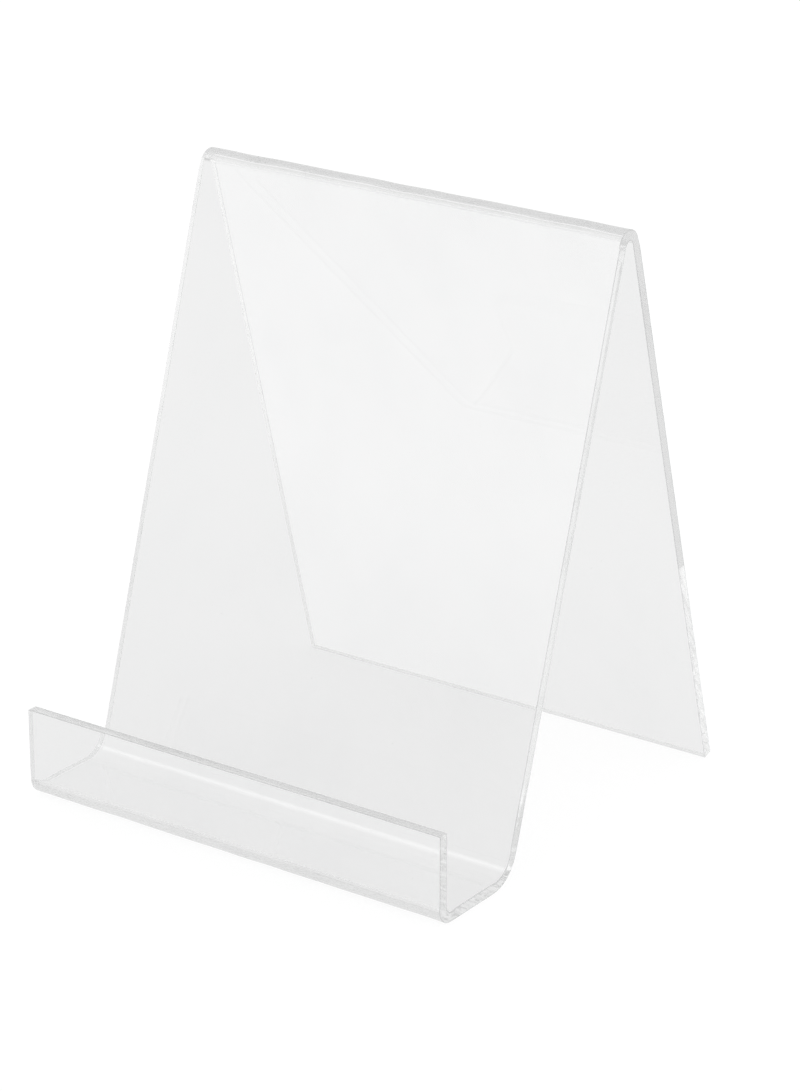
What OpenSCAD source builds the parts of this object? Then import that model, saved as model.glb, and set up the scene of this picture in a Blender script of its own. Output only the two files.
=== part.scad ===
// Book display stand: one sheet of clear acrylic, line bent three times.
// A low front lip turns up from a flat ledge, the ledge turns up into a
// back rest that leans away, and the sheet folds over at the top into a
// rear leg. The ledge and the inner corner of the leg's square-cut end
// stand on the table.
//
// Frame: X across the stand, Y from front to back, Z up. The origin is on
// the table, at the middle of the stand's footprint.

/* [Sheet] */
// Thickness of the clear acrylic sheet
sheet_t = 4; // [3:0.5:5]
// Width of the stand, from cut edge to cut edge
stand_w = 178; // [100:1:300]

/* [Front ledge] */
// Height of the front lip above the table
lip_h = 33.5; // [20:0.5:60]
// Depth of the ledge, from the front of the lip to where the back of the back rest would meet the table
ledge_d = 42; // [32:0.5:80]
// Inside radius of the bend between the lip and the ledge
lip_bend_r = 2.5; // [1.5:0.1:6]

/* [Back rest] */
// Overall height of the stand
stand_h = 214.5; // [150:0.5:320]
// Lean of the back rest from upright, in degrees
rest_lean = 17.17; // [10:0.01:25]
// Inside radius of the bend between the ledge and the back rest
rest_bend_r = 9.8; // [2:0.1:15]

/* [Rear leg] */
// Slope of the rear leg from upright, in degrees
leg_slope = 15.39; // [10:0.01:25]
// Inside radius of the bend at the top
top_bend_r = 2.1; // [1:0.1:8]

/* [Quality] */
// Number of sides that stand for a full circle on screen
facets = 180; // [60:12:360]

/* [Hidden] */

clear_acrylic = [0.93, 0.96, 0.97, 0.45];

// Outside radii of the three bends
lip_outer_r = lip_bend_r + sheet_t;
rest_outer_r = rest_bend_r + sheet_t;
top_outer_r = top_bend_r + sheet_t;

// Angles the sheet turns through along its length: up from the lip into
// the ledge, up into the back rest, and back over into the rear leg
lip_turn = 90;
rest_turn = 90 - rest_lean;
top_turn = 180 - rest_lean - leg_slope;

// Heights of the top bend's centre above the table and above the centre
// of the back rest's bend
top_z = stand_h - top_outer_r;
top_rise = top_z - rest_outer_r;
// Distance from the centre of the back rest's bend, square to the back
// rest, to the top bend's centre, which lies on the sheet's other side
centre_gap = rest_outer_r + top_bend_r;

// Length of the flat run of each part of the sheet, clear of its bends
lip_run = lip_h - lip_outer_r;
ledge_run = ledge_d - lip_outer_r - rest_outer_r * tan(rest_turn / 2);
rest_run = (top_rise + centre_gap * sin(rest_lean)) / cos(rest_lean);
// The leg's inner face runs down to the table
leg_run = (top_z + top_bend_r * sin(leg_slope)) / cos(leg_slope);

// Distances back from the front of the lip: to the centre of the back
// rest's bend, to the centre of the top bend, and to the outer corner of
// the leg's square end, which is the depth of the footprint
rest_y = lip_outer_r + ledge_run;
top_y = rest_y + centre_gap * cos(rest_lean) + rest_run * sin(rest_lean);
stand_d = top_y + top_outer_r * cos(leg_slope) + leg_run * sin(leg_slope);

// The sections below are drawn flat: x is the stand's depth, y its height.

// One line bend about its centre: a ring kept between the square end of
// the run before it and that of the run after it. A left turn (positive)
// starts below the centre and a right turn (negative) above it. The
// ring's own start is turned to its far side, clear of the bend.
module bend(inner_r, turn) {
    outer_r = inner_r + sheet_t;
    reach = 2 * outer_r; // well past the ring
    intersection() {
        rotate(180)
            difference() {
                circle(r = outer_r, $fn = facets);
                circle(r = inner_r, $fn = facets);
            }
        translate([0, -reach]) square([reach, 2 * reach]);
        rotate(turn) translate([-reach, -reach]) square([reach, 2 * reach]);
    }
}

// Front lip and the bend below it
module lip_section() {
    translate([0, lip_outer_r]) square([sheet_t, lip_run]);
    translate([lip_outer_r, lip_outer_r]) rotate(-lip_turn) bend(lip_bend_r, lip_turn);
}

// Top bend and rear leg, from the top bend's centre
module leg_section() {
    bend(top_bend_r, -top_turn);
    rotate(-top_turn) translate([0, top_bend_r]) square([leg_run, sheet_t]);
}

// Back rest, the bend below it and all beyond it, from that bend's centre
module rest_section() {
    bend(rest_bend_r, rest_turn);
    rotate(rest_turn) {
        translate([0, -rest_outer_r]) square([rest_run, sheet_t]);
        translate([rest_run, -centre_gap]) leg_section();
    }
}

// The whole sheet, with the front of the lip at x = 0 and the underside
// of the ledge at y = 0
module sheet_section() {
    lip_section();
    translate([lip_outer_r, 0]) square([ledge_run, sheet_t]);
    translate([rest_y, rest_outer_r]) rest_section();
}

// The stand: the section stood up and extruded across its width
module bent_sheet() {
    color(clear_acrylic)
        translate([0, -stand_d / 2, 0])
            rotate([90, 0, 90])
                linear_extrude(height = stand_w, center = true)
                    sheet_section();
}

bent_sheet();
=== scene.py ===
"""Book stand bent from one sheet of clear acrylic.

X runs across the stand, -Y is the front and +Z is up. Seen from the side the
sheet is a low lip at the front, a flat ledge on the table, a back rest that
leans backwards and a rear leg that slopes down to the table behind it.
"""
import math

import bmesh
import bpy
import numpy as np
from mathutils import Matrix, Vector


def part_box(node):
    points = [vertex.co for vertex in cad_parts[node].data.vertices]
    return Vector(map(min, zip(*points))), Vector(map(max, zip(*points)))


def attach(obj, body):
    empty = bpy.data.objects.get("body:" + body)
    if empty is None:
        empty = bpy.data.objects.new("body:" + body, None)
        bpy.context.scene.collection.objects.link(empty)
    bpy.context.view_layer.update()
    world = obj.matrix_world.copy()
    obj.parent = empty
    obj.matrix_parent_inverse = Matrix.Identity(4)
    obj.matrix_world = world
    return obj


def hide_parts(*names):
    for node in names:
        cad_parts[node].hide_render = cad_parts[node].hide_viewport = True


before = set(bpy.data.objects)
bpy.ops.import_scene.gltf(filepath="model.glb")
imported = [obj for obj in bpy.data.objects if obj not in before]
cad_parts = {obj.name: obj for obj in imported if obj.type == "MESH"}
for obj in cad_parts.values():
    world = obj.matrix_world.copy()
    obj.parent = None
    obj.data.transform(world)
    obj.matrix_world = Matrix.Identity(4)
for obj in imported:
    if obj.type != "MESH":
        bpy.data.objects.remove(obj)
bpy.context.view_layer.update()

MM = 0.001
lo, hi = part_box("bent_sheet")
WIDTH = hi.x - lo.x  # cut edge to cut edge
HEIGHT = hi.z - lo.z
DEPTH = hi.y - lo.y
THICK = 4.0 * MM
HALF_W, HALF_T = WIDTH / 2, THICK / 2

# ---------------------------------------------------------------- section
# Four flat runs joined by three line bends. Arc length s runs along the middle
# of the sheet, from the top of the lip to the foot of the leg. Side B is the
# book's side of the ledge and the back rest, side A is the other.
LIP_H, LEDGE_D = 33.5 * MM, 42.0 * MM
LEAN, SLOPE = math.radians(17.17), math.radians(15.39)  # rest and leg, from upright
IN_LIP, IN_REST, IN_TOP = 2.5 * MM, 9.8 * MM, 2.1 * MM  # inside radii
OUT_LIP, OUT_REST, OUT_TOP = (inside + THICK for inside in (IN_LIP, IN_REST, IN_TOP))

LIP_RUN = LIP_H - OUT_LIP
LEDGE_RUN = LEDGE_D - OUT_LIP - OUT_REST * (1 - math.sin(LEAN)) / math.cos(LEAN)
REST_RUN = (HEIGHT - OUT_TOP - OUT_REST + (OUT_REST + IN_TOP) * math.sin(LEAN)) / math.cos(LEAN)
LEG_RUN = (HEIGHT - OUT_TOP + IN_TOP * math.sin(SLOPE)) / math.cos(SLOPE)

# kind, length or turn (positive towards side B), inside radius
CHAIN = [
    ("run", LIP_RUN, 0),
    ("turn", math.radians(90), IN_LIP),
    ("run", LEDGE_RUN, 0),
    ("turn", math.radians(90) - LEAN, IN_REST),
    ("run", REST_RUN, 0),
    ("turn", -(math.pi - LEAN - SLOPE), IN_TOP),
    ("run", LEG_RUN, 0),
]
RUN_STEP, MIN_RUN_STEPS = 1.3 * MM, 8
TURN_STEP, MIN_TURN_STEPS = math.radians(4.0), 14


def middle_line():
    """Stations (s, y, z, angle) and bends (start, end, side it turns to, inside radius)."""
    stations, bends = [], []
    place = np.array([lo.y + HALF_T, lo.z + LIP_H])
    angle = -math.pi / 2
    s = 0.0

    def normal(angle):
        return np.array([-math.sin(angle), math.cos(angle)])

    for kind, size, inside in CHAIN:
        if kind == "run":
            steps = max(MIN_RUN_STEPS, int(size / RUN_STEP))
            ahead = np.array([math.cos(angle), math.sin(angle)])
            for part in np.linspace(0, 1, steps + 1)[:-1]:
                stations.append((s + size * part, *(place + ahead * size * part), angle))
            place = place + ahead * size
            s += size
        else:
            steps = max(MIN_TURN_STEPS, int(abs(size) / TURN_STEP))
            radius = inside + HALF_T
            length = radius * abs(size)
            left = 1 if size > 0 else -1
            centre = place + left * radius * normal(angle)
            for part in np.linspace(0, 1, steps + 1)[:-1]:
                turned = angle + size * part
                spot = centre - left * radius * normal(turned)
                stations.append((s + length * part, *spot, turned))
            angle += size
            place = centre - left * radius * normal(angle)
            bends.append((s, s + length, left, inside))
            s += length
    stations.append((s, *place, angle))
    return np.array(stations), bends


STATIONS, BENDS = middle_line()
S_END = STATIONS[-1, 0]


def near_bend(s, start, end, reach):
    """1 inside a bend, falling smoothly to 0 at a reach outside it."""
    away = np.maximum(np.maximum(start - s, s - end), 0) / reach
    near = np.clip(1 - away, 0, 1)
    return near * near * (3 - 2 * near)


# ------------------------------------------------------------------ noise
def waves(seed, count, lowest, highest):
    """Smooth repeatable noise of two variables: plane waves, in cycles a metre."""
    rng = np.random.default_rng(seed)
    frequency = rng.uniform(lowest, highest, count)
    heading = rng.uniform(0, 2 * math.pi, count)
    phase = rng.uniform(0, 2 * math.pi, count)
    size = rng.uniform(0.4, 1.0, count)
    size /= np.sqrt((size**2).sum() / 2)

    def value(x, y):
        total = 0.0
        for f, h, p, a in zip(frequency, heading, phase, size):
            total = total + a * np.sin(2 * math.pi * f * (x * math.cos(h) + y * math.sin(h)) + p)
        return total

    return value


ripple = waves(seed=3, count=9, lowest=12, highest=55)  # left in the heated strips
bow = waves(seed=5, count=5, lowest=1.5, highest=5)  # slow bow of the flat runs
fine_saw = waves(seed=11, count=10, lowest=90, highest=330)
coarse_saw = waves(seed=12, count=8, lowest=30, highest=90)

# ------------------------------------------------------------------- mesh
# The cut edges are scraped, so every corner of the section is a little round.
CORNER = 0.16 * MM
CORNER_POINTS = 3  # inside each rounded corner
FLAT_W, FLAT_T = HALF_W - CORNER, HALF_T - CORNER  # half sizes between the corners
# points across the width are closer together near the cut edges
EDGE_STEPS = np.array([0, 0.25, 0.7, 1.4, 2.4, 3.8]) * MM
MIDDLE_INSET, MIDDLE_POINTS = 6.0 * MM, 44
ACROSS = np.concatenate([
    -FLAT_W + EDGE_STEPS,
    np.linspace(-FLAT_W + MIDDLE_INSET, FLAT_W - MIDDLE_INSET, MIDDLE_POINTS),
    FLAT_W - EDGE_STEPS[::-1],
])
THROUGH = np.linspace(FLAT_T, -FLAT_T, 7)  # from side B to side A
NX, NT = len(ACROSS), len(THROUGH)
HALF_RING = NX + NT + 2 * CORNER_POINTS
RING = 2 * HALF_RING

END_ROWS = 5  # rows that round each end of the sheet
END_INSET = 0.86  # inset of the end row, as a share of the corner radius

# Bends: the inside is squeezed and stands out of the cut edge, the outside is
# drawn in. A tight bend does it more.
BULGE_TIGHT, BULGE_WIDE, TIGHT_BELOW = 0.30 * MM, 0.2 * MM, 5 * MM
BULGE_REACH = 2.5 * MM  # along the sheet
BULGE_FADE = 2.2 * MM  # in from the cut edge
HEAT_REACH = 6 * MM
RIPPLE_SIZE, BOW_SIZE = 0.055 * MM, 0.015 * MM
BOW_FADE = 0.02  # the bow dies out over this length at each end
THINNING = 0.02  # share of the thickness lost in a heated strip

# Cut edges: sizes of the saw marks, and how deep the edge is cut back
SIDE_FINE, SIDE_COARSE, SIDE_CUT = 0.0008 * MM, 0.003 * MM, 0.03 * MM
END_FINE, END_COARSE, END_CUT = 0.003 * MM, 0.01 * MM, 0.02 * MM
SIDE_SLANT, END_SLANT = 0.9, 1.1
# long slanting scraper marks on the last of the leg
CHATTER_RUN, CHATTER_FADE = 86 * MM, 20 * MM
CHATTER_SIZE, CHATTER_SLANT = 0.024 * MM, 2.8


def section_ring():
    """Section of the sheet: x, place through it, and 1 on a broad face. It starts on side B."""
    turn = np.linspace(0, math.pi / 2, CORNER_POINTS + 2)[1:-1]
    sin, cos = CORNER * np.sin(turn), CORNER * np.cos(turn)
    half = np.concatenate([
        np.stack([ACROSS, np.full(NX, HALF_T)], 1),
        np.stack([FLAT_W + sin, FLAT_T + cos], 1),
        np.stack([np.full(NT, HALF_W), THROUGH], 1),
        np.stack([FLAT_W + cos, -FLAT_T - sin], 1),
    ])
    broad = np.arange(HALF_RING) < NX
    # the other half is the same, turned half way round
    return np.concatenate([half, -half]), np.concatenate([broad, broad])


def ring_parts(first):
    """Ring indices of a broad face, a corner, a cut edge and a corner, in ring order."""
    parts = []
    for count in (NX, CORNER_POINTS, NT, CORNER_POINTS):
        parts.append(list(range(first, first + count)))
        first += count
    return parts


FACE_B, CORNER_B_RIGHT, EDGE_RIGHT, CORNER_A_RIGHT = ring_parts(0)
FACE_A, CORNER_A_LEFT, EDGE_LEFT, CORNER_B_LEFT = ring_parts(HALF_RING)
# in the order of ACROSS and THROUGH
FACE_A.reverse()
EDGE_LEFT.reverse()


def sheet_rows():
    """Arc length of each row, and how far its section is inset."""
    turn = np.linspace(0, math.pi / 2, END_ROWS)
    back = CORNER * (1 - np.sin(turn))
    inset = END_INSET * CORNER * (1 - np.cos(turn))
    s = STATIONS[:, 0]
    inner = s[(s > CORNER * 1.01) & (s < S_END - CORNER * 1.01)]
    return (
        np.concatenate([back[::-1], inner, S_END - back]),
        np.concatenate([inset[::-1], np.zeros(len(inner)), inset]),
    )


def edge_offset(s, x, tau):
    """Outward shift in x: the bulge at the bends, and the marks on the cut edges."""
    side = np.sign(x)
    bulge = 0.0
    for start, end, left, inside in BENDS:
        size = BULGE_TIGHT if inside < TIGHT_BELOW else BULGE_WIDE
        bulge = bulge + left * near_bend(s, start, end, BULGE_REACH) * size
    close = np.exp(-np.maximum(HALF_W - np.abs(x), 0) / BULGE_FADE)
    offset = side * close * bulge * (0.35 + 0.65 * tau / HALF_T)

    slanted = s + SIDE_SLANT * tau * side
    marks = SIDE_FINE * fine_saw(slanted, side * 0.7)
    marks += SIDE_COARSE * coarse_saw(slanted, tau * 0.5)
    chatter = coarse_saw(2.0 * (s - CHATTER_SLANT * tau * side), 0.3 * side)
    chatter *= np.clip((s - (S_END - CHATTER_RUN)) / CHATTER_FADE, 0, 1) * CHATTER_SIZE
    on_edge = np.abs(x) > HALF_W - 0.5 * CORNER
    return offset + np.where(on_edge, side * (marks + chatter - SIDE_CUT), 0)


def sheet_skin(row_s, inset, angle, ring):
    """Points of every row, and their place on the sheet in mm with the heating."""
    s, inset = row_s[:, None], inset[:, None]
    hot = np.max([near_bend(s, bend[0], bend[1], HEAT_REACH) for bend in BENDS], axis=0)
    x, tau = ring[:, 0], ring[:, 1]
    close = np.clip((np.abs(x) - FLAT_W) / (0.3 * MM) + 1, 0, 1)
    x = x - np.sign(x) * inset * close
    tau = tau - np.sign(tau) * inset * (np.abs(tau) > FLAT_T - 1e-9)
    x = x + edge_offset(s, x, tau)

    # Ripple in the heated strips and slow bow elsewhere, square to the sheet.
    # Both faces move together, so the thickness stays.
    shift = RIPPLE_SIZE * ripple(x, s * 0.35) * hot
    fade = np.clip(s / BOW_FADE, 0, 1) * np.clip((S_END - s) / BOW_FADE, 0, 1)
    shift = shift + BOW_SIZE * bow(x, s) * (1 - hot) * fade
    # a heated strip is a little thinner, and unevenly so
    tau = tau * (1 - THINNING * hot * (1 + 0.3 * ripple(x * 1.3 + 0.1, s)))

    y = np.interp(row_s, STATIONS[:, 0], STATIONS[:, 1])[:, None]
    z = np.interp(row_s, STATIONS[:, 0], STATIONS[:, 2])[:, None]
    y = y - np.sin(angle)[:, None] * (tau + shift)
    z = z + np.cos(angle)[:, None] * (tau + shift)
    z = np.maximum(z, lo.z)  # nothing dips below the table
    place = np.broadcast_arrays(s / MM, x / MM, ring[:, 1] / MM, hot)
    return np.stack([x, y, z], 2), np.stack(place, 2)


def cap_points(row, s, outward, end):
    """A grid over one sawn end of the sheet, and its place on the sheet."""
    x = row[FACE_B][:, :1]
    share = ((THROUGH + HALF_T) / THICK)[None, :, None]
    flat = row[FACE_A][:, None, 1:] * (1 - share) + row[FACE_B][:, None, 1:] * share
    slanted = x + END_SLANT * THROUGH
    out = END_FINE * fine_saw(slanted, 2.0 + end)
    out = out + END_COARSE * coarse_saw(slanted, THROUGH * 0.5 + end) - END_CUT
    points = np.dstack([np.broadcast_to(x, out.shape), flat + outward * out[..., None]])
    place = np.stack(np.broadcast_arrays(s / MM, x / MM, THROUGH / MM, 0.0), 2)
    return points.reshape(-1, 3), place.reshape(-1, 4)


def cap_faces(first, grid):
    """Faces that join a cap's grid to the row whose first vertex is given."""

    def arris_painted_shade(indices):
        return [first + j for j in indices]

    b, a, right, left = (arris_painted_shade(part) for part in (FACE_B, FACE_A, EDGE_RIGHT, EDGE_LEFT))
    faces = []
    for i in range(NX - 1):
        here, after = grid[i], grid[i + 1]
        faces.append((b[i], b[i + 1], after[0], here[0]))
        for j in range(NT - 1):
            faces.append((here[j], after[j], after[j + 1], here[j + 1]))
        faces.append((here[-1], after[-1], a[i + 1], a[i]))
    for j in range(NT - 1):
        faces.append((grid[-1][j], right[j], right[j + 1], grid[-1][j + 1]))
        faces.append((left[j], grid[0][j], grid[0][j + 1], left[j + 1]))
    faces.append((grid[-1][0], b[-1], *arris_painted_shade(CORNER_B_RIGHT), right[0]))
    faces.append((grid[-1][-1], right[-1], *arris_painted_shade(CORNER_A_RIGHT), a[-1]))
    faces.append((grid[0][-1], a[0], *arris_painted_shade(CORNER_A_LEFT), left[-1]))
    faces.append((grid[0][0], left[0], *arris_painted_shade(CORNER_B_LEFT), b[0]))
    return faces


def build_sheet():
    ring, broad = section_ring()
    row_s, inset = sheet_rows()
    rows = len(row_s)
    angle = np.interp(row_s, STATIONS[:, 0], STATIONS[:, 3])
    skin, skin_place = sheet_skin(row_s, inset, angle, ring)
    points, places = [skin.reshape(-1, 3)], [skin_place.reshape(-1, 4)]

    # slot 0 is the moulded faces, slot 1 the cut edges
    faces, slots = [], []
    for k in range(rows - 1):
        this, following = k * RING, (k + 1) * RING
        at_end = k < END_ROWS - 1 or k >= rows - END_ROWS
        for j in range(RING):
            j2 = (j + 1) % RING
            faces.append((this + j, this + j2, following + j2, following + j))
            slots.append(0 if broad[j] and broad[j2] and not at_end else 1)

    first_cap = rows * RING
    for end, k, sense in ((0, 0, -1), (1, rows - 1, 1)):
        outward = sense * np.array([math.cos(angle[k]), math.sin(angle[k])])
        cap, cap_place = cap_points(skin[k], row_s[k], outward, end)
        points.append(cap)
        places.append(cap_place)
        grid = (first_cap + np.arange(NX * NT)).reshape(NX, NT).tolist()
        first_cap += NX * NT
        joined = cap_faces(k * RING, grid)
        # the two ends face opposite ways
        if end == 1:
            joined = [tuple(reversed(face)) for face in joined]
        faces += joined
        slots += [1] * len(joined)

    mesh = bpy.data.meshes.new("acrylic_sheet")
    mesh.from_pydata(np.concatenate(points).tolist(), [], faces)
    mesh.update()
    values = np.concatenate(places).astype(np.float32)
    for i, name in enumerate(("along", "across", "through", "heated")):
        attribute = mesh.attributes.new(name, "FLOAT", "POINT")
        attribute.data.foreach_set("value", np.ascontiguousarray(values[:, i]))
    sheet = bpy.data.objects.new("acrylic_sheet", mesh)
    bpy.context.scene.collection.objects.link(sheet)
    mesh.polygons.foreach_set("use_smooth", [True] * len(mesh.polygons))
    mesh.polygons.foreach_set("material_index", slots)

    # turn every face outwards
    bm = bmesh.new()
    bm.from_mesh(mesh)
    bmesh.ops.recalc_face_normals(bm, faces=bm.faces)
    if bm.calc_volume(signed=True) < 0:
        bmesh.ops.reverse_faces(bm, faces=bm.faces)
    bm.to_mesh(mesh)
    bm.free()

    # each corner's shading follows the broad faces, so they stay optically flat
    shading = sheet.modifiers.new("broad_faces_lead", "WEIGHTED_NORMAL")
    shading.mode = "FACE_AREA"
    shading.weight = 100
    shading.keep_sharp = False
    return sheet


sheet = build_sheet()


# ----------------------------------------------------------------- shaders
class Graph:
    """Builds a node tree. Any input takes a value or the output of another node."""

    def __init__(self, tree):
        self.tree = tree
        tree.nodes.clear()

    def node(self, kind, inputs=None, **settings):
        made = self.tree.nodes.new(kind)
        for name, value in settings.items():
            setattr(made, name, value)
        for key, value in (inputs or {}).items():
            self.feed(made.inputs[key], value)
        return made

    def feed(self, socket, value):
        if isinstance(value, bpy.types.NodeSocket):
            self.tree.links.new(value, socket)
        else:
            socket.default_value = value

    def maths(self, operation, *values, clamp=False):
        inputs = dict(enumerate(values))
        return self.node("ShaderNodeMath", inputs, operation=operation, use_clamp=clamp).outputs[0]

    def add(self, first, second):
        return self.maths("ADD", first, second)

    def times(self, first, *others):
        for other in others:
            first = self.maths("MULTIPLY", first, other)
        return first

    def ramp(self, value, span, to=(0, 1)):
        """A smooth step over the span."""
        inputs = {"From Min": span[0], "From Max": span[1], "To Min": to[0], "To Max": to[1]}
        inputs["Value"] = value
        ramp = self.node("ShaderNodeMapRange", inputs, interpolation_type="SMOOTHSTEP")
        return ramp.outputs["Result"]

    def mix_colour(self, factor, first, second):
        inputs = {0: factor, 6: first, 7: second}
        return self.node("ShaderNodeMix", inputs, data_type="RGBA").outputs[2]

    def choose(self, test, no, yes):
        inputs = {0: test, 2: no, 3: yes}
        return self.node("ShaderNodeMix", inputs, data_type="FLOAT").outputs[0]

    def attribute(self, name):
        return self.node("ShaderNodeAttribute", attribute_name=name).outputs["Fac"]

    def on_sheet(self, along, across, through, lean=0.0):
        """Place on the sheet in mm, each way scaled, and leaning through the thickness."""
        s, x, t = (self.attribute(name) for name in ("along", "across", "through"))
        if lean:
            s, x = (self.add(way, self.times(t, lean)) for way in (s, x))
        inputs = {0: self.times(s, along), 1: self.times(x, across), 2: self.times(t, through)}
        return self.node("ShaderNodeCombineXYZ", inputs).outputs[0]

    def noise(self, vector, detail, roughness):
        inputs = {"Scale": 1.0, "Detail": detail, "Roughness": roughness, "Vector": vector}
        return self.node("ShaderNodeTexNoise", inputs).outputs[0]

    def near_surface(self, value):
        """A flaw, or painted shade, as the eye meets it. Light far along the inside doesn't see
        it.
        """
        depth = self.node("ShaderNodeLightPath").outputs["Ray Depth"]
        return self.times(value, self.maths("LESS_THAN", depth, 3.5))

    def bump(self, height):
        inputs = {"Strength": 0.6, "Distance": 0.001, "Height": height}
        return self.node("ShaderNodeBump", inputs).outputs[0]


def grey(red, green, blue):
    return (red, green, blue, 1)


# Light that has met the sheet this many times has run its whole length, and
# is followed no further: it is taken to come from the room's mean radiance.
BOUNCES = 48
ROOM_MEAN = 0.76
ACRYLIC_IOR = 1.49


def clear_acrylic(name):
    """A material, its graph and its shader, with the light trapped inside the sheet."""
    material = bpy.data.materials.new(name)
    material.use_nodes = True
    material.cycles.emission_sampling = "NONE"
    g = Graph(material.node_tree)
    depth = g.node("ShaderNodeLightPath").outputs["Ray Depth"]
    last = g.maths("GREATER_THAN", depth, BOUNCES + 0.5)
    shader = g.node("ShaderNodeBsdfPrincipled", {
        "IOR": ACRYLIC_IOR,
        "Emission Color": (1, 1, 1, 1),
        "Emission Strength": g.times(last, ROOM_MEAN),
    })
    g.node("ShaderNodeOutputMaterial", {0: shader.outputs[0]})
    return material, g, shader


def face_material():
    """The two moulded faces: glossy, with scratches, haze, dust and orange peel."""
    material, g, shader = clear_acrylic("clear_acrylic_face")

    def hairlines(along, across, angle):
        inputs = {"Angle": angle, "Vector": g.on_sheet(along, across, through=1.0)}
        turned = g.node("ShaderNodeVectorRotate", inputs, rotation_type="Z_AXIS").outputs[0]
        return g.ramp(g.noise(turned, detail=1.0, roughness=0.6), span=(0.66, 0.78))

    # hairline scratches in two slanting directions
    hair = g.maths(
        "MAXIMUM",
        hairlines(along=0.05, across=4.2, angle=0.35),
        hairlines(along=3.6, across=0.06, angle=-0.22),
    )
    # haze from handling, in soft patches
    patches = g.on_sheet(along=0.018, across=0.025, through=0.1)
    haze = g.ramp(g.noise(patches, detail=3.0, roughness=0.6), span=(0.42, 0.75))
    # specks of dust, in one cell out of five
    cell_inputs = {"Scale": 1.0, "Vector": g.on_sheet(along=0.22, across=0.22, through=0.5)}
    cells = g.node("ShaderNodeTexVoronoi", cell_inputs, feature="F1")
    pick = g.node("ShaderNodeSeparateColor", {0: cells.outputs["Color"]}).outputs[0]
    dot = g.ramp(cells.outputs["Distance"], span=(0.02, 0.045), to=(1, 0))
    speck = g.times(dot, g.maths("GREATER_THAN", pick, 0.8))

    # haze and scratches scatter light, and with the dust they block a little
    rough = g.add(g.times(haze, 0.018), g.times(hair, 0.05))
    dull = g.add(g.times(haze, 0.010), g.times(hair, 0.020))
    dull = g.add(dull, g.times(speck, 0.35))
    clear = g.maths("SUBTRACT", 1.0, g.near_surface(dull), clamp=True)
    # the clear sheet is neutral, very slightly uneven
    tint = g.mix_colour(haze, grey(0.984, 0.985, 0.985), grey(0.972, 0.974, 0.975))
    # orange peel near the bends
    peel = g.noise(g.on_sheet(along=0.35, across=0.12, through=0.3), detail=1.0, roughness=0.5)
    height = g.times(peel, g.attribute("heated"), 0.02)

    g.feed(shader.inputs["Roughness"], g.near_surface(rough))
    g.feed(shader.inputs["Transmission Weight"], clear)
    g.feed(shader.inputs["Base Color"], tint)
    g.feed(shader.inputs["Normal"], g.bump(height))
    return material


def edge_material():
    """The cut edges: sawn and scraped, so half clear, with marks that lean."""
    material, g, shader = clear_acrylic("clear_acrylic_cut_edge")

    # blade marks on the side edges and the ends
    marks = g.noise(
        g.on_sheet(along=0.55, across=0.55, through=0.05, lean=0.9), detail=2.0, roughness=0.6)
    fine = g.noise(
        g.on_sheet(along=4.0, across=4.0, through=0.2, lean=0.9), detail=1.0, roughness=0.5)
    # patches where the scraper has polished it and where it has skipped
    patch = g.noise(
        g.on_sheet(along=0.16, across=0.16, through=0.22, lean=0.4), detail=3.0, roughness=0.6)
    dull = g.ramp(patch, span=(0.35, 0.68))
    rough = g.add(g.ramp(dull, span=(0, 1), to=(0.02, 0.06)), g.times(fine, 0.02))
    blocked = g.near_surface(g.times(dull, 0.05))
    clear = g.maths("SUBTRACT", 1.0, blocked, clamp=True)
    tint = g.mix_colour(
        g.times(marks, dull), grey(0.975, 0.977, 0.977), grey(0.93, 0.934, 0.935))

    # painted shade: a dark band along the corners of each cut edge stands in for the dark lines
    # that the rounded arrises give by refraction; it is stronger where the edge is dull
    arris_painted_shade = g.ramp(g.maths("ABSOLUTE", g.attribute("through")), span=(1.35, 1.85))
    arris_painted_shade = g.times(arris_painted_shade, g.ramp(patch, span=(0.3, 0.7), to=(0.75, 1.0)))
    # the painted shade takes the edge colour to dark grey along the corners
    tint = g.mix_colour(g.near_surface(arris_painted_shade), tint, grey(0.63, 0.635, 0.635))

    # slanting streaks on the last of the leg's cut edges, alternately clear and darker
    slanted = g.on_sheet(along=0.36, across=0.02, through=0.0, lean=-CHATTER_SLANT)
    streak = g.ramp(g.noise(slanted, detail=1.0, roughness=0.5), span=(0.44, 0.56))
    foot = S_END / MM
    last_part = g.ramp(g.attribute("along"), span=(foot - 80, foot - 60))
    streak = g.near_surface(g.times(streak, last_part))
    tint = g.mix_colour(streak, tint, grey(0.87, 0.873, 0.874))

    height = g.add(g.times(marks, 0.004), g.times(fine, 0.0006))
    g.feed(shader.inputs["Roughness"], rough)
    g.feed(shader.inputs["Transmission Weight"], clear)
    g.feed(shader.inputs["Base Color"], tint)
    g.feed(shader.inputs["Normal"], g.bump(height))
    return material


sheet.data.materials.append(face_material())
sheet.data.materials.append(edge_material())

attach(sheet, "root")
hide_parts("bent_sheet")

# ------------------------------------------------------------------ stage
scene = bpy.context.scene
scene.view_settings.view_transform = "Standard"
scene.view_settings.look = "None"
# light runs a long way inside a clear sheet before it leaves by a cut edge
scene.cycles.max_bounces = BOUNCES
scene.cycles.glossy_bounces = BOUNCES
scene.cycles.transmission_bounces = BOUNCES

# Radiance of the studio. The ground is white, a little darker through the
# sheet, and large soft lamps show in the sheet's faces.
WHITE = 1.03  # seen directly
# Radiance of the ground by how it is seen. The face and inside pairs are near
# the stand and far from it, the through pairs at the front and at the back.
FACE_GROUND = (0.88, 1.00)
INSIDE_GROUND = (0.775, 0.775)
ONCE_GROUND = (0.888, 0.912)
TWICE_GROUND = (0.92, 0.985)
# at the horizon: through the sheet once and twice, through it once towards the
# left and right, and in a face
ONCE_HORIZON, TWICE_HORIZON = 0.87, 0.90
SIDE_HORIZON = 0.66
FACE_HORIZON = 0.89


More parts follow.
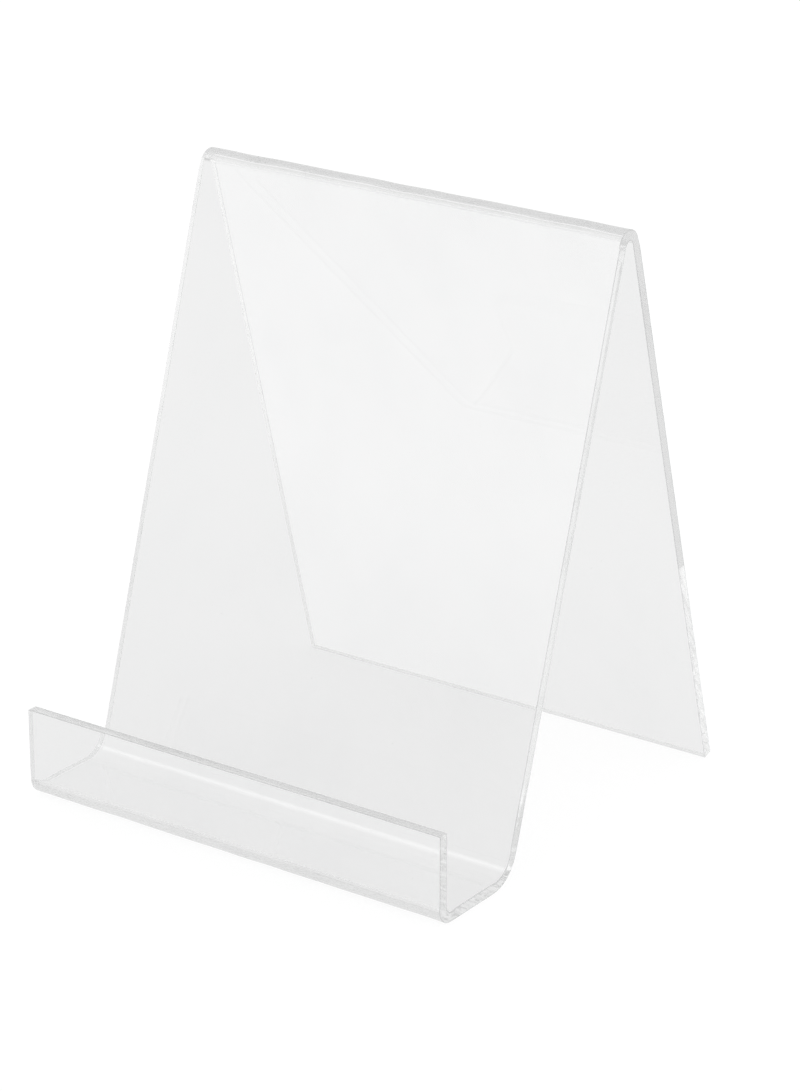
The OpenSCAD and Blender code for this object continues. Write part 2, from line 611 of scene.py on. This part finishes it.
def light_by_path(g, direct, once, twice, face, inside):
    """Radiance seen directly, through the sheet once or twice, in a face, or along the inside."""
    path = g.node("ShaderNodeLightPath")

    def deeper(kind, depth):
        return g.maths("GREATER_THAN", path.outputs[kind], depth)

    light = g.choose(deeper("Transmission Depth", 0.5), direct, once)
    light = g.choose(deeper("Transmission Depth", 2.5), light, twice)
    light = g.choose(deeper("Glossy Depth", 0.5), light, face)
    return g.choose(deeper("Glossy Depth", 1.5), light, inside)


def build_world():
    world = bpy.data.worlds.new("studio")
    scene.world = world
    world.use_nodes = True
    g = Graph(world.node_tree)
    heading = g.node("ShaderNodeTexCoord").outputs["Generated"]
    split = g.node("ShaderNodeSeparateXYZ", {0: heading})

    def lamp(towards, inner, outer, strength):
        """Strength towards a direction, falling to 0 between two angles in degrees."""
        length = math.sqrt(sum(c * c for c in towards))
        inputs = {0: heading, 1: [c / length for c in towards]}
        dot = g.node("ShaderNodeVectorMath", inputs, operation="DOT_PRODUCT").outputs["Value"]
        span = (math.cos(math.radians(outer)), math.cos(math.radians(inner)))
        return g.times(g.ramp(dot, span), strength)

    # in a face: soft light all round, a little brighter at the horizon, with one
    # lamp overhead to the front left
    face = g.ramp(split.outputs["Z"], span=(0.0, 0.06), to=(FACE_HORIZON, 0.81))
    face = g.add(face, lamp((-0.543, -0.363, 0.757), inner=4, outer=9, strength=1.2))

    # along the inside: dim at the horizon and brighter above, with a long low
    # lamp at the front left, a high one at the back left and a grey card under it
    inside = g.ramp(split.outputs["Z"], span=(0.12, 0.5), to=(0.68, 0.84))
    inside = g.add(inside, lamp((-0.543, -0.830, 0.127), inner=16, outer=36, strength=0.22))
    inside = g.add(inside, lamp((-0.543, 0.400, 0.738), inner=2, outer=8, strength=0.16))
    card = lamp((-0.543, 0.757, 0.363), inner=8, outer=22, strength=0.20)
    inside = g.maths("SUBTRACT", inside, card)
    # an even white wall on the right
    wall = g.ramp(split.outputs["X"], span=(0.0, 0.3))
    inside = g.add(g.times(inside, g.maths("SUBTRACT", 1.0, wall)), g.times(wall, 0.86))

    # grey walls to the left and right, seen through the cut edges
    sideways = g.maths("ABSOLUTE", split.outputs["X"])
    once = g.ramp(sideways, span=(0.84, 0.96), to=(ONCE_HORIZON, SIDE_HORIZON))

    strength = light_by_path(g, WHITE, once, TWICE_HORIZON, face, inside)
    background = g.node(
        "ShaderNodeBackground", {"Color": (1, 1, 1, 1), "Strength": strength})
    g.node("ShaderNodeOutputWorld", {0: background.outputs[0]})
    # light reaches the sheet through its own faces, so a lamp is met by following
    # paths and not by aiming at it
    world.cycles.sampling_method = "NONE"


FLOOR_SIZE, FLOOR_DROP = 14, 0.0002
ALBEDO = 0.10
DIFFUSE = ALBEDO * WHITE  # what the floor's diffuse part gives; its glow adds the rest


def floor_material():
    material = bpy.data.materials.new("pale_floor")
    material.use_nodes = True
    material.cycles.emission_sampling = "NONE"
    g = Graph(material.node_tree)
    position = g.node("ShaderNodeNewGeometry").outputs["Position"]
    split = g.node("ShaderNodeSeparateXYZ", {0: position})
    x, y = split.outputs["X"], split.outputs["Y"]
    length = g.node("ShaderNodeVectorMath", {0: position}, operation="LENGTH")
    distance = length.outputs["Value"]

    def glow(value, span, pair):
        return g.ramp(value, span, to=(pair[0] - DIFFUSE, pair[1] - DIFFUSE))

    def fade(value, span, start, end):
        """A factor that takes one radiance to another over the span."""
        return g.ramp(value, span, to=(1.0, (end - DIFFUSE) / (start - DIFFUSE)))

    near_to_far = (0.15, 0.38)  # distance from the origin
    front_to_back = (-0.06, 0.30)  # y
    to_horizon = (0.78, 1.5)  # distance, through the sheet

    face = g.times(
        glow(distance, near_to_far, FACE_GROUND),
        fade(distance, (0.8, 3.5), FACE_GROUND[1], FACE_HORIZON),
    )
    # along the inside: dimmer far away, and brighter on the right
    inside = g.times(
        glow(distance, near_to_far, INSIDE_GROUND),
        g.ramp(distance, span=(0.6, 1.1), to=(1.0, 0.66)),
        g.ramp(x, span=(0.10, 0.8), to=(1.0, 1.45)),
    )
    once = g.times(
        glow(y, front_to_back, ONCE_GROUND),
        fade(distance, to_horizon, ONCE_GROUND[1], ONCE_HORIZON),
        fade(g.maths("ABSOLUTE", x), (0.6, 1.1), ONCE_HORIZON, SIDE_HORIZON),
    )
    twice = g.times(
        glow(y, front_to_back, TWICE_GROUND),
        fade(distance, to_horizon, TWICE_GROUND[1], TWICE_HORIZON),
    )
    strength = light_by_path(g, WHITE - DIFFUSE, once, twice, face, inside)
    emission = g.node("ShaderNodeEmission", {"Color": (1, 1, 1, 1), "Strength": strength})
    diffuse = g.node("ShaderNodeBsdfDiffuse", {"Color": grey(ALBEDO, ALBEDO, ALBEDO)})
    both = g.node("ShaderNodeAddShader", {0: emission.outputs[0], 1: diffuse.outputs[0]})
    g.node("ShaderNodeOutputMaterial", {0: both.outputs[0]})
    return material


build_world()
bpy.ops.mesh.primitive_plane_add(size=FLOOR_SIZE, location=(0, 0, -FLOOR_DROP))
floor = bpy.context.object
floor.name = "floor"
floor.data.materials.append(floor_material())

# ----------------------------------------------------------------- camera
# to the front right of the stand and above it, looking down and to the left
YAW, PITCH = 0.62234, 0.37148

camera_data = bpy.data.cameras.new("camera")
camera = bpy.data.objects.new("camera", camera_data)
scene.collection.objects.link(camera)
scene.camera = camera
camera_data.sensor_fit = "AUTO"
camera_data.sensor_width = 36.0
camera_data.lens = 124.50984
camera_data.clip_start, camera_data.clip_end = 0.05, 60
camera.location = (0.72998, -0.91601 - DEPTH / 2, 0.57177)
camera.rotation_mode = "XYZ"
camera.rotation_euler = (math.pi / 2 - PITCH, 0, YAW)
